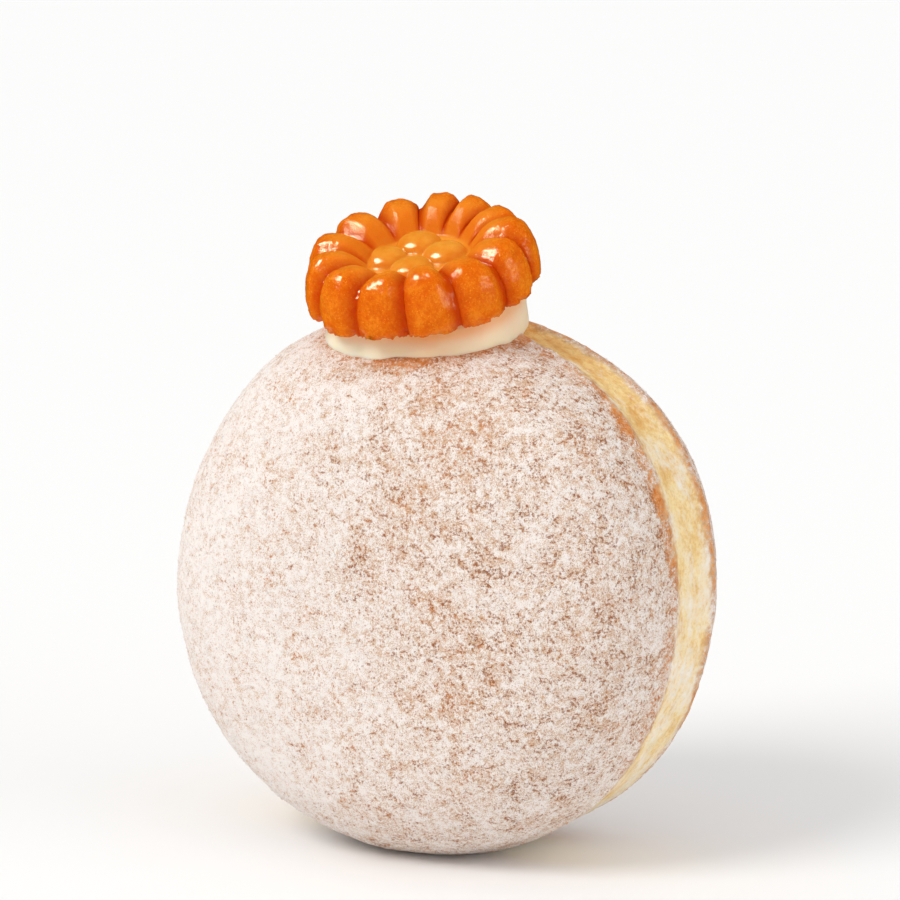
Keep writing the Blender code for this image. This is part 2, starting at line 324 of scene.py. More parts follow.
# Thickness of the sugar: how far the powder and each noise push it
SUGAR_POWDER = 1.3
SUGAR_OFFSET = 0.31
SUGAR_PUFFS = 1.9
SUGAR_GRAIN = 3.6

# Powder that covers the band
COVER_SPECKS = 0.6
COVER_PUFFS = 0.9
COVER_LEVEL = 0.28
COVER_GAIN = 1.9

# Flower's colours: shares of each and where they set in
FLECK_LEVEL = 0.60
FLECK_GAIN = 7.0
INNER_SHARE = 0.7
VALLEY_SHARE = 0.5
GROOVE_LEVEL = 0.18
GROOVE_GAIN = 1.4
COAT_WEIGHT = 0.8
COAT_VALLEY = 0.7
HEART_SMOOTHNESS = 0.8

# Lights: direction as shares right of, above and towards the view, then size and strength
KEY_TOWARD = (-0.62, 0.65, 0.45)
KEY_ANGLE = math.radians(26.0)
KEY_STRENGTH = 1.25
KEY_COLOUR = (1.0, 0.99, 0.98)
FILL_TOWARD = (0.85, 0.35, 0.55)
FILL_ANGLE = math.radians(60.0)
FILL_STRENGTH = 0.45
WHITE = (1.0, 1.0, 1.0)
LEFT_PANEL_TOWARD = (-0.62, 0.76, 0.18)
LEFT_PANEL_SIZE = (0.34, 0.28)
LEFT_PANEL_POWER = 14.5
RIGHT_PANEL_TOWARD = (0.95, 0.10, 0.38)
RIGHT_PANEL_SIZE = (0.36, 0.16)
RIGHT_PANEL_POWER = 1.2
PANEL_DISTANCE = 0.6
PANEL_AIM = Vector((0.0, 0.0, 0.08))
WORLD_STRENGTH = 0.74
FLOOR_HALF = 4.0
FLOOR_COLOUR = (0.93, 0.93, 0.93, 1.0)

# Warm colour of the panels, so that their mirror images fade out to peach on the amber
PANEL_COLOUR = (1.0, 0.88, 0.66)


def waves(angle, terms):
    """Sum of cosines and sines round the disc, one pair of shares for each count of waves."""
    total = 0.0
    for count, (cosine, sine) in terms.items():
        total = total + cosine * np.cos(count * angle) + sine * np.sin(count * angle)
    return total


def disc_radius(angle):
    return DISC_RADIUS * (1.0 + waves(angle, DISC_WAVES))


def band_edges(angle):
    front = BAND_FRONT_MEAN + waves(angle, BAND_FRONT_WAVES)
    back = BAND_BACK_MEAN + waves(angle, BAND_BACK_WAVES)
    return front, back


def crown_share(y):
    """Radius at a distance from the widest plane, as a share of the radius there."""
    depth = np.where(y < 0.0, FRONT_DEPTH, BACK_DEPTH)
    power = np.where(y < 0.0, FRONT_POWER, BACK_POWER)
    inside = np.maximum(0.0, 1.0 - (np.abs(y) / depth) ** power)
    return inside ** (1.0 / power)


def disc_centre_height():
    return float(disc_radius(-math.pi / 2.0)) - FOOT_SAG


def smooth_step(low, high, value):
    share = np.clip((value - low) / (high - low), 0.0, 1.0)
    return share * share * (3.0 - 2.0 * share)


def dough_top(x, y):
    """Height of the dough's upper surface over a point, from its smooth form."""
    share = float(crown_share(np.float64(y)))
    reach = DISC_RADIUS * share
    for _ in range(4):
        angle = math.atan2(math.sqrt(max(0.0, reach * reach - x * x)), x)
        reach = float(disc_radius(angle)) * share
    return disc_centre_height() + math.sqrt(max(0.0, reach * reach - x * x))


def flower_frame():
    """Place of the flower: origin in the middle of its underside, Z square to its flat side."""
    place = Matrix.Translation((FLOWER_X, FLOWER_Y, disc_centre_height() + FLOWER_RISE))
    lean = Matrix.Rotation(FLOWER_LEAN, 4, "X")
    roll = Matrix.Rotation(FLOWER_ROLL, 4, "Y")
    turn = Matrix.Rotation(FLOWER_TURN, 4, "Z")
    return place @ lean @ roll @ turn


def flower_underside(x, y):
    """Height of the plane that the flower's underside lies in."""
    square = flower_frame().col[2]
    middle = flower_frame().translation
    drop = ((x - middle.x) * square.x + (y - middle.y) * square.y) / square.z
    return middle.z - drop


def fractal(points, size, octaves, seed):
    """Smooth noise of about -1 to 1 at each point; size is the width of its largest lumps."""
    shift = Vector((seed * 3.7, seed * 1.9, seed * 7.3))
    return np.array([noise.fractal(Vector(point) / size + shift, 0.6, 2.0, octaves) for point in points])


def stretched_fractal(points, size, octaves, seed):
    """Noise drawn out round the rim, with lumps a given width along Y."""
    squeezed = points.copy()
    squeezed[:, 0] *= RIM_STRETCH
    squeezed[:, 2] *= RIM_STRETCH
    return fractal(squeezed, size, octaves, seed)


def sphere_grid(cells):
    """Directions and quads of a cube's surface grid blown up to a sphere, evenly spaced."""
    steps = np.arange(cells + 1)
    first, second = (grid.ravel() for grid in np.meshgrid(steps, steps, indexing="ij"))
    lattice = []
    quads = []
    low = (np.arange(cells)[:, None] * (cells + 1) + np.arange(cells)[None, :]).ravel()
    corner = np.stack([low, low + cells + 1, low + cells + 2, low + 1], axis=1)
    for axis in range(3):
        for side in (0, cells):
            face = np.zeros((len(first), 3), dtype=np.int64)
            face[:, axis] = side
            face[:, (axis + 1) % 3] = first
            face[:, (axis + 2) % 3] = second
            turned = corner if side else corner[:, ::-1]
            quads.append(turned + len(lattice) * len(first))
            lattice.append(face)
    lattice = np.concatenate(lattice)
    quads = np.concatenate(quads)
    key = (lattice[:, 0] * (cells + 1) + lattice[:, 1]) * (cells + 1) + lattice[:, 2]
    _, keep, merged = np.unique(key, return_index=True, return_inverse=True)
    direction = np.tan((2.0 * lattice[keep] / cells - 1.0) * math.pi / 4.0)
    direction /= np.linalg.norm(direction, axis=1)[:, None]
    return direction, merged.ravel()[quads]


def dough_profile():
    """Share of the radius, y and arc length of the whole profile, from front pole to back pole."""
    turn = np.linspace(math.pi / 2.0, 0.0, PROFILE_SAMPLES)
    front_share = np.cos(turn) ** (2.0 / FRONT_POWER)
    front_y = -FRONT_DEPTH * np.sin(turn) ** (2.0 / FRONT_POWER)
    back_share = np.cos(turn) ** (2.0 / BACK_POWER)
    back_y = BACK_DEPTH * np.sin(turn) ** (2.0 / BACK_POWER)
    share = np.concatenate([front_share, back_share[::-1][1:]])
    y = np.concatenate([front_y, back_y[::-1][1:]])
    share[0] = 0.0
    share[-1] = 0.0
    steps = np.hypot(np.diff(share * DISC_RADIUS), np.diff(y))
    length = np.concatenate(([0.0], np.cumsum(steps)))
    return share, y, length


def smooth_dough(direction):
    """Points of the plain form for directions from its centre, with each point's angle and y."""
    share, y, length = dough_profile()
    polar = np.arccos(np.clip(-direction[:, 1], -1.0, 1.0))
    angle = np.arctan2(direction[:, 2], direction[:, 0])
    along = polar / math.pi * length[-1]
    point_y = np.interp(along, length, y)
    radius = disc_radius(angle) * np.interp(along, length, share)
    front, back = band_edges(angle)
    across = np.clip((point_y - front) / (back - front), 0.0, 1.0)
    fade = BAND_GROOVE_LEAST + (1.0 - BAND_GROOVE_LEAST) * (0.5 + 0.5 * np.sin(angle))
    radius = radius - BAND_GROOVE * fade * np.sin(math.pi * across) ** BAND_GROOVE_ROUNDNESS
    points = np.stack([radius * np.cos(angle), point_y,
                       disc_centre_height() + radius * np.sin(angle)], axis=1)
    return points, angle


def point_normals(points, quads):
    """Outward normal at each point of a closed mesh of quads."""
    first = points[quads[:, 2]] - points[quads[:, 0]]
    second = points[quads[:, 3]] - points[quads[:, 1]]
    face = np.cross(first, second)
    total = np.zeros_like(points)
    for corner in range(4):
        np.add.at(total, quads[:, corner], face)
    total /= np.maximum(np.linalg.norm(total, axis=1), 1e-12)[:, None]
    outward = points - points.mean(axis=0)
    if (total * outward).sum() < 0.0:
        total = -total
    return total


def store(mesh, name, values):
    """Keeps one number for each vertex where a material can read it."""
    layer = mesh.attributes.new(name, "FLOAT", "POINT")
    layer.data.foreach_set("value", np.asarray(values, dtype=np.float32))


def mesh_object(name, points, faces, material, node=None):
    """New smooth piece that rides on the object's body and may stand for a CAD node."""
    mesh = bpy.data.meshes.new(name)
    mesh.from_pydata([tuple(point) for point in points], [], [tuple(face) for face in faces])
    mesh.validate()
    mesh.shade_smooth()
    mesh.materials.append(material)
    piece = bpy.data.objects.new(name, mesh)
    bpy.context.scene.collection.objects.link(piece)
    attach(piece, "root")
    if node:
        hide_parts(node)
    return piece


class Skin:
    """Where each point of the dough lies, and the noises that its powder and browning share."""

    def __init__(self, points, angle):
        y = points[:, 1]
        front, back = band_edges(angle)
        ragged = fractal(points, RAGGED_WIDE_SIZE, 4, 1) * RAGGED_WIDE
        ragged = ragged + fractal(points, RAGGED_FINE_SIZE, 3, 2) * RAGGED_FINE
        self.points = points
        self.angle = angle
        self.past_front = y - front + ragged
        self.past_back = back - y + ragged
        self.band = smooth_step(*FRONT_EDGE, self.past_front) * smooth_step(*BACK_EDGE, self.past_back)
        self.clusters = fractal(points, CLUSTER_SIZE, 5, 3)
        self.patches = fractal(points, PATCH_SIZE, 3, 4)
        self.puffs = fractal(points, PUFF_SIZE, 3, 5)
        self.left = smooth_step(*LEFT_SIDE, points[:, 0] + LEFT_LEAN * (y + LEFT_SHIFT))
        self.high = smooth_step(*HIGH_PART, np.sin(angle))
        self.strip = smooth_step(*STRIP_EDGE, self.past_front) * smooth_step(*STRIP_END, self.past_front)
        self.back_strip = smooth_step(*BACK_STRIP_EDGE, self.past_back)
        self.back_strip = self.back_strip * smooth_step(*STRIP_END, self.past_back)


def crust_powder(skin):
    """Share of sugar on the crust, thinner along the band and beside the collar."""
    points = skin.points
    front_side = smooth_step(*FRONT_SIDE, points[:, 1])
    powder = POWDER_MEAN + POWDER_LEFT * skin.left * front_side + POWDER_CLUSTERS * skin.clusters
    powder += POWDER_PATCHES * skin.patches + POWDER_PUFFS * skin.puffs
    powder += POWDER_LOW * smooth_step(*UNDERSIDE, np.sin(skin.angle))
    show = np.exp(-((skin.angle - STRIP_ANGLE) / STRIP_SPREAD) ** 2)
    breaks = STRIP_SHOW + STRIP_BREAKS * fractal(points, STRIP_BREAK_SIZE, 4, 8)
    powder -= STRIP_DEPTH * skin.strip * np.clip(show * breaks, 0.0, 1.0)
    back_show = np.clip(BACK_STRIP_SHOW + fractal(points, BACK_STRIP_SIZE, 2, 9), 0.0, 1.0)
    powder -= BACK_STRIP_DEPTH * skin.back_strip * back_show
    from_collar = np.hypot(points[:, 0] - COLLAR_X, points[:, 1] - COLLAR_Y) - COLLAR_RADIUS
    beside = np.exp(-((from_collar - COLLAR_BARE_PLACE) / COLLAR_BARE_WIDTH) ** 2)
    beside = beside * (points[:, 2] > COLLAR_LEVEL)
    return powder - COLLAR_BARE * beside * (1.0 + skin.clusters) * (1.0 - COLLAR_BARE_LEFT * skin.left)


def band_powder(skin):
    """Share of sugar that lies on the waist band, in soft patches."""
    low = smooth_step(*LOW_PART, np.sin(skin.angle))
    patches = stretched_fractal(skin.points, BAND_PATCH_SIZE, 3, 7)
    powder = BAND_POWDER_MEAN + BAND_POWDER_LOW * low + BAND_POWDER_HIGH * skin.high
    powder += BAND_POWDER_PATCHES * patches + BAND_POWDER_CLUSTERS * skin.clusters
    return powder + BAND_POWDER_PUFFS * skin.puffs


def browning(skin):
    """How brown the crust is, and how golden the band is."""
    right = smooth_step(*RIGHT_SIDE, skin.points[:, 0])
    toast = TOAST_MEAN + TOAST_RIGHT * right + TOAST_LEFT * skin.left + TOAST_PATCHES * skin.patches
    toast += TOAST_STRIP * skin.strip + TOAST_BACK_STRIP * skin.back_strip
    toast = np.clip(toast + TOAST_FLECKS * fractal(skin.points, TOAST_FLECK_SIZE, 3, 10), 0.0, 1.0)
    return toast * (1.0 - skin.band) + skin.band * (BAND_TOAST + BAND_TOAST_HIGH * skin.high)


def skin_relief(skin, powder):
    """Height of the low relief: swells, skin, powder, the lips along the band and its streaks."""
    lip = np.exp(-((skin.past_front + LIP_PLACE) / LIP_WIDTH) ** 2)
    lip = lip + np.exp(-((skin.past_back + LIP_PLACE) / LIP_WIDTH) ** 2)
    height = SWELL_DEPTH * fractal(skin.points, SWELL_SIZE, 2, 11)
    height += SKIN_DEPTH * fractal(skin.points, SKIN_SIZE, 3, 12)
    height += POWDER_DEPTH * (powder - POWDER_LEVEL) + PUFF_DEPTH * skin.puffs * powder
    height += CRUST_LIP * lip * (1.0 - skin.band)
    return height + BAND_STREAK_DEPTH * stretched_fractal(skin.points, BAND_STREAK_SIZE, 4, 6) * skin.band


def make_dough(material):
    """The dough with its relief; returns where sugar clumps may stand, and how likely they are."""
    direction, quads = sphere_grid(DOUGH_CELLS)
    points, angle = smooth_dough(direction)
    normals = point_normals(points, quads)
    skin = Skin(points, angle)
    powder = crust_powder(skin) * (1.0 - skin.band) + band_powder(skin) * skin.band
    powder = np.clip(powder, 0.0, 1.0)
    points = points + normals * skin_relief(skin, powder)[:, None]
    points[:, 2] = np.maximum(points[:, 2], 0.0)

    piece = mesh_object("dough_skin", points, quads, material, "dough")
    store(piece.data, "powder", powder)
    store(piece.data, "band", skin.band)
    store(piece.data, "toast", browning(skin))
    cut_cream_room(piece)
    return points, normals, powder * (1.0 - (1.0 - CLUMPS_ON_BAND) * skin.band)


def collar_point(radius, angle, share_up):
    """Point on the collar: share_up is 0 in the dough's imprint and 1 under the flower."""
    radius = radius * (1.0 + float(waves(angle, COLLAR_WAVES)))
    x = COLLAR_X + radius * math.cos(angle)
    y = COLLAR_Y + radius * math.sin(angle)
    low = dough_top(x, y) - CREAM_SINK
    high = flower_underside(x, y) - 0.5 * GAP
    return x, y, low + (high - low) * share_up


def collar_bulge(angle, share_up):
    """Outward swell of the collar, with soft folds where it was pressed down."""
    spot = Vector((math.cos(angle) * FOLDS_ROUND, math.sin(angle) * FOLDS_ROUND, share_up * FOLDS_UP))
    fold = FOLD_DEPTH * noise.fractal(spot + FOLD_SHIFT, 0.7, 2.0, 3)
    waist = WAIST_DEPTH * math.cos(2.0 * math.pi * (share_up - WAIST_LIFT))
    return fold + waist


def ring_angles(count):
    return [2.0 * math.pi * step / count for step in range(count)]


def core_rings(angles, margin):
    """Rings from the foot of the neck down round the core, as in the CAD node."""
    neck_foot = dough_top(COLLAR_X, COLLAR_Y) - CREAM_SINK - NECK_LENGTH
    bottom = disc_centre_height() + CORE_BOTTOM - margin
    rings = []
    for row in range(CORE_ROWS):
        turn = CORE_LAST_ROW * row / (CORE_ROWS - 1)
        down = math.sin(0.5 * math.pi * turn) ** CORE_DOWN_POWER
        height = neck_foot + (bottom - neck_foot) * down
        swell = math.sqrt(math.sin(math.pi * down ** CORE_SWELL_POWER)) if 0.0 < down < 1.0 else 0.0
        radius_x = NECK_RADIUS * (1.0 - down) + (CORE_RADIUS_X - NECK_RADIUS * CORE_NECK_SHARE) * swell
        radius_y = NECK_RADIUS * (1.0 - down) + (CORE_RADIUS_Y - NECK_RADIUS * CORE_NECK_SHARE) * swell
        middle_x = COLLAR_X * (1.0 - down)
        middle_y = COLLAR_Y + (CORE_CENTRE_Y - COLLAR_Y) * float(smooth_step(0.0, 1.0, down))
        rings.append([(middle_x + (radius_x + margin) * math.cos(angle),
                       middle_y + (radius_y + margin) * math.sin(angle), height) for angle in angles])
    return rings


def ring_faces(rings, count):
    """Quads between rings of points that follow each other, and a cap at both ends."""
    faces = []
    for ring in range(rings - 1):
        for step in range(count):
            after = (step + 1) % count
            low = ring * count
            high = low + count
            faces.append((low + step, high + step, high + after, low + after))
    faces.append(tuple(range(count)))
    faces.append(tuple(reversed(range((rings - 1) * count, rings * count))))
    return faces


def make_room():
    """Closed form of the room for the collar's foot, the neck and the core."""
    angles = ring_angles(ROOM_SEGMENTS)
    imprint = COLLAR_RADIUS - IMPRINT_INSET
    rings = []
    for radius, lift in ((imprint, ROOM_TOP), (imprint, -GAP), (NECK_RADIUS + GAP, -GAP)):
        ring = []
        for angle in angles:
            x, y, low = collar_point(radius, angle, 0.0)
            ring.append((x, y, low + lift))
        rings.append(ring)
    rings += core_rings(angles, GAP)
    mesh = bpy.data.meshes.new("cream_room")
    mesh.from_pydata([point for ring in rings for point in ring], [], ring_faces(len(rings), ROOM_SEGMENTS))
    room = bpy.data.objects.new("cream_room", mesh)
    bpy.context.scene.collection.objects.link(room)
    return room


def cut_cream_room(piece):
    """Cuts the cream's room out of the dough."""
    room = make_room()
    cut = piece.modifiers.new("room", "BOOLEAN")
    cut.operation = "DIFFERENCE"
    cut.solver = "EXACT"
    cut.object = room
    seen = piece.evaluated_get(bpy.context.evaluated_depsgraph_get())
    whole = piece.data
    piece.data = bpy.data.meshes.new_from_object(seen)
    piece.modifiers.clear()
    room_mesh = room.data
    bpy.data.objects.remove(room)
    bpy.data.meshes.remove(room_mesh)
    bpy.data.meshes.remove(whole)


def syrup_and_shade_tint(angle, edge, share_up):
    """How warm the cream is painted, by place round the collar and height: the biscuit's syrup that has run
    into it, plus painted shade and orange bounce light from the biscuit.
    """
    # Side to side as the camera sees it, so that the painted shade and bounce sit where the view sees them
    aside = edge * math.cos(angle - VIEW_AZIMUTH)
    middle = SYRUP_SHADE_MIDDLE * math.exp(-((aside - SYRUP_SHADE_MIDDLE_PLACE) / SYRUP_SHADE_MIDDLE_WIDTH) ** 2)
    right = SYRUP_SHADE_RIGHT * float(smooth_step(*SYRUP_SHADE_RIGHT_EDGE, aside))
    return middle + right + SYRUP_SHADE_TOP * float(smooth_step(*SYRUP_SHADE_TOP_EDGE, share_up))


def collar_rings():
    """Radius and share of the height of each ring, from the collar's top middle down to the neck."""
    rings = [(share * COLLAR_RADIUS, 1.0) for share in COLLAR_TOP_RINGS]
    for row in range(COLLAR_ROWS + 1):
        turn = math.pi * row / COLLAR_ROWS
        share_up = 0.5 + 0.5 * math.cos(turn)
        corner = (1.0 - abs(math.cos(turn)) ** COLLAR_CORNER_POWER) * COLLAR_CORNER_DEPTH
        flare = COLLAR_FLARE * (1.0 - share_up) ** 2
        rings.append((COLLAR_RADIUS - COLLAR_CORNER_INSET + corner + flare, share_up))
    rings += [(share * COLLAR_RADIUS, 0.0) for share in COLLAR_FOOT_RINGS]
    return rings + [(NECK_RADIUS, 0.0)]


def make_cream(material):
    """Cream: the collar between dough and flower, and its neck and core inside the dough."""
    points = []
    tint = []
    angles = ring_angles(COLLAR_SEGMENTS)
    rings = collar_rings()
    for radius, share_up in rings:
        for angle in angles:
            edge = radius / COLLAR_RADIUS
            reach = radius + edge ** COLLAR_EDGE_POWER * (collar_bulge(angle, share_up) - COLLAR_INSET)
            points.append(collar_point(reach, angle, share_up))
            # Tint: syrup in the cream plus painted shade and orange bounce light from the biscuit
            tint.append(syrup_and_shade_tint(angle, edge, share_up))
    core = core_rings(angles, 0.0)
    points += [point for ring in core for point in ring]
    tint += [0.0] * (len(core) * len(angles))
    faces = ring_faces(len(rings) + len(core), len(angles))
    piece = mesh_object("cream_filling", points, faces, material, "cream")
    store(piece.data, "tint", tint)


def wall_point(turn, outer, crest, height):
    """Radius and height on an outer wall, from its tucked-in foot at 0 to its crest at 90 degrees."""
    power = 2.0 / PETAL_POWER
    rise = height * max(0.0, math.sin(turn)) ** power
    radius = crest + (outer - crest) * max(0.0, math.cos(turn)) ** power
    tuck = FOOT_TUCK * max(0.0, 1.0 - rise / FOOT_TUCK_HEIGHT) ** 2
    return radius - tuck, rise


def slope_point(share, crest, height):
    """Radius and height on the slope from a crest, at 0, to the flower's middle, at 1."""
    radius = crest + (HEART_RADIUS - crest) * share
    rise = HEART_EDGE + (height - HEART_EDGE) * (1.0 - share ** SLOPE_POWER)
    return radius, rise


def petal_line(outer, crest, height):
    """Points (radius, height) of one radial line, from the flower's middle out to the foot."""
    line = []
    for row in range(SLOPE_ROWS, 0, -1):
        line.append(slope_point(row / SLOPE_ROWS, crest, height))
    for row in range(WALL_ROWS, -1, -1):
        line.append(wall_point(0.5 * math.pi * row / WALL_ROWS, outer, crest, height))
    return np.array(line)


def petal_ridge(offset):
    """Height across a petal, 1 on its ridge and 0 in the grooves: rounded, with a flat right flank."""
    rounded = max(0.0, 1.0 - abs(offset) ** PETAL_ROUNDNESS) ** PETAL_FULLNESS
    if offset > 0.0:
        rounded = min(rounded, PETAL_FACET_SLOPE * (1.0 - offset))
    seam = SEAM_HEIGHT * math.exp(-((1.0 - abs(offset)) / SEAM_WIDTH) ** 2)
    return rounded + seam


def heart_height(x, y):
    """Height of the four-lobed middle, its lobes run softly into each other."""
    total = 0.0
    for lobe in range(HEART_LOBES):
        angle = HEART_TURN + 2.0 * math.pi * lobe / HEART_LOBES
        away = math.hypot(x - HEART_SHIFT_X - HEART_LOBE_DISTANCE * math.cos(angle),
                          y - HEART_SHIFT_Y - HEART_LOBE_DISTANCE * math.sin(angle))
        dome = math.sqrt(max(0.0, 1.0 - (away / HEART_LOBE_RADIUS) ** 2))
        total += dome ** LOBE_BLEND
    fade = float(smooth_step(1.0, HEART_FADE_FROM, math.hypot(x, y) / HEART_RADIUS))
    return HEART_FLOOR + HEART_LOBE_HEIGHT * total ** (1.0 / LOBE_BLEND) * fade


def flower_columns():
    """Radial lines of the flower's plain form, with how deep in a groove each point lies."""
    columns = []
    groove = []
    for segment in range(PETALS * PETAL_SEGMENTS):
        petal = (segment + PETAL_SEGMENTS // 2) // PETAL_SEGMENTS
        step = segment - petal * PETAL_SEGMENTS
        offset = math.sin(math.pi * step / PETAL_SEGMENTS)
        base = 2.0 * math.pi * (petal + 0.5 * offset) / PETALS
        angle = base + float(waves(base, PETAL_SPACING_WAVES))
        reach = 1.0 + float(waves(base, PETAL_REACH_WAVES))
        tall = 1.0 + float(waves(base, PETAL_HEIGHT_WAVES))
        ridge = petal_ridge(offset)
        top_line = petal_line(PETAL_OUTER * reach, PETAL_CREST * reach, PETAL_HEIGHT * tall)
        low_line = petal_line(GROOVE_OUTER * reach, GROOVE_CREST * reach, GROOVE_HEIGHT * tall)
        line = low_line + (top_line - low_line) * ridge
        column = []
        for row in range(1, HEART_ROWS):
            radius = HEART_RADIUS * row / HEART_ROWS
            x = radius * math.cos(angle)
            y = radius * math.sin(angle)
            column.append((x, y, heart_height(x, y)))
        for radius, rise in line:
            column.append((radius * math.cos(angle), radius * math.sin(angle), rise))
        columns.append(column)
        groove.append([0.0] * (HEART_ROWS - 1) + [1.0 - ridge] * len(line))
    return columns, groove


def flower_faces(count, rows):
    """Quads between the radial lines, and triangles to the middle above and below."""
    faces = []
    for segment in range(count):
        after = (segment + 1) % count
        for row in range(rows - 1):
            low = segment * rows + row
            high = after * rows + row
            faces.append((low, low + 1, high + 1, high))
    middle = count * rows
    for segment in range(count):
        after = (segment + 1) % count
        faces.append((middle, segment * rows, after * rows))
        faces.append((middle + 1, after * rows + rows - 1, segment * rows + rows - 1))
    return faces


def roughen(local, radius):
    """Adds the grain, the dimples and the crumbs along the foot to the flower's plain points."""
    rough = smooth_step(HEART_RADIUS, HEART_RADIUS + ROUGH_START, radius)
    grain = fractal(local, GRAIN_SIZE, 3, 21) * GRAIN_DEPTH
    dimple = fractal(local, DIMPLE_SIZE, 2, 22) * DIMPLE_DEPTH
    crumb = fractal(local, CRUMB_SIZE, 3, 23) * CRUMB_DEPTH * smooth_step(CRUMB_HEIGHT, 0.0, local[:, 2])
    push = rough * (grain + dimple)
    local[:, 2] += push + rough * np.abs(crumb)
    local[:, :2] *= (1.0 + (push + rough * crumb) / np.maximum(radius, 1e-6))[:, None]
    local[-1] = (0.0, 0.0, 0.0)


def make_flower(material):
    """Glazed flower biscuit, with its grain, its crumbly lower edge and what its colours need."""
    columns, groove = flower_columns()
    points = [point for column in columns for point in column]
    points += [(0.0, 0.0, heart_height(0.0, 0.0)), (0.0, 0.0, 0.0)]
    local = np.array(points)
    radius = np.hypot(local[:, 0], local[:, 1])
    roughen(local, radius)
    place = flower_frame()
    world = [place @ Vector(point) for point in local]
    faces = flower_faces(len(columns), len(columns[0]))
    piece = mesh_object("flower_glaze", world, faces, material, "flower_biscuit")
    share = radius / HEART_RADIUS
    inner_from, inner_to = INNER_COLOUR_EDGE
    valley = smooth_step(VALLEY_OUTER, VALLEY_INNER, radius) * smooth_step(VALLEY_START, 1.0, share)
    store(piece.data, "groove", [value for line in groove for value in line] + [0.0, 0.0])
    store(piece.data, "heart", 1.0 - smooth_step(*HEART_COLOUR_EDGE, share))
    store(piece.data, "inner", smooth_step(PETAL_CREST + inner_from, PETAL_CREST + inner_to, radius))
    store(piece.data, "valley", valley)


def round_lump():
    """Corners and outward sides of a twenty-sided lump of radius 1."""
    golden = (1.0 + math.sqrt(5.0)) / 2.0
    corners = []
    for axis in range(3):
        for long_side in (golden, -golden):
            for short_side in (-1.0, 1.0):
                corners.append(np.roll((short_side, long_side, 0.0), axis))
    corners = np.array(corners) / np.linalg.norm(corners[0])
    shortest = min(np.linalg.norm(corners[0] - corner) for corner in corners[1:])
    sides = []
    for trio in itertools.combinations(range(len(corners)), 3):
        pairs = itertools.combinations(corners[list(trio)], 2)
        if max(np.linalg.norm(one - other) for one, other in pairs) < shortest + EDGE_TOLERANCE:
            outward = np.linalg.det(corners[list(trio)]) > 0.0
            sides.append(trio if outward else trio[::-1])
    return corners, np.array(sides)


def clump_spots(points, powder, draw):
    """Points of the powdered skin where a clump stands, clear of the collar and the foot."""
    away = np.hypot(points[:, 0] - COLLAR_X, points[:, 1] - COLLAR_Y)
    at_collar = (away < COLLAR_RADIUS + CLUMP_COLLAR_ROOM) & (points[:, 2] > COLLAR_LEVEL)
    clear = (points[:, 2] > CLUMP_LOWEST) & ~at_collar
    weight = np.where(clear, np.clip(powder - CLUMP_LEAST_POWDER, 0.0, 1.0), 0.0)
    return draw.choice(len(points), size=CLUMP_COUNT, replace=False, p=weight / weight.sum())


def make_clumps(points, normals, powder, material):
    """Small uneven lumps of sugar that stand on the powdered skin, as one joined mesh."""
    draw = np.random.default_rng(CLUMP_SEED)
    corners, sides = round_lump()
    small, large = CLUMP_RADIUS
    all_points = []
    all_faces = []
    for index, spot in enumerate(clump_spots(points, powder, draw)):
        size = small + (large - small) * draw.random() ** CLUMP_SMALLNESS
        uneven = draw.uniform(*CLUMP_UNEVENNESS, size=(len(corners), 1))
        turn, _ = np.linalg.qr(draw.normal(size=(3, 3)))
        lump = (corners * uneven) @ turn * size
        normal = normals[spot]
        lump -= CLUMP_FLATTENING * (lump @ normal)[:, None] * normal
        slide = draw.normal(size=3) * CLUMP_SLIDE
        slide -= (slide @ normal) * normal
        all_points.append(points[spot] + slide + normal * size * CLUMP_LIFT + lump)
        all_faces.append((sides if np.linalg.det(turn) > 0 else sides[:, ::-1]) + len(corners) * index)
    points = np.concatenate(all_points)
    points[:, 2] = np.maximum(points[:, 2], 0.0)
    mesh_object("sugar_clumps", points, np.concatenate(all_faces), material)


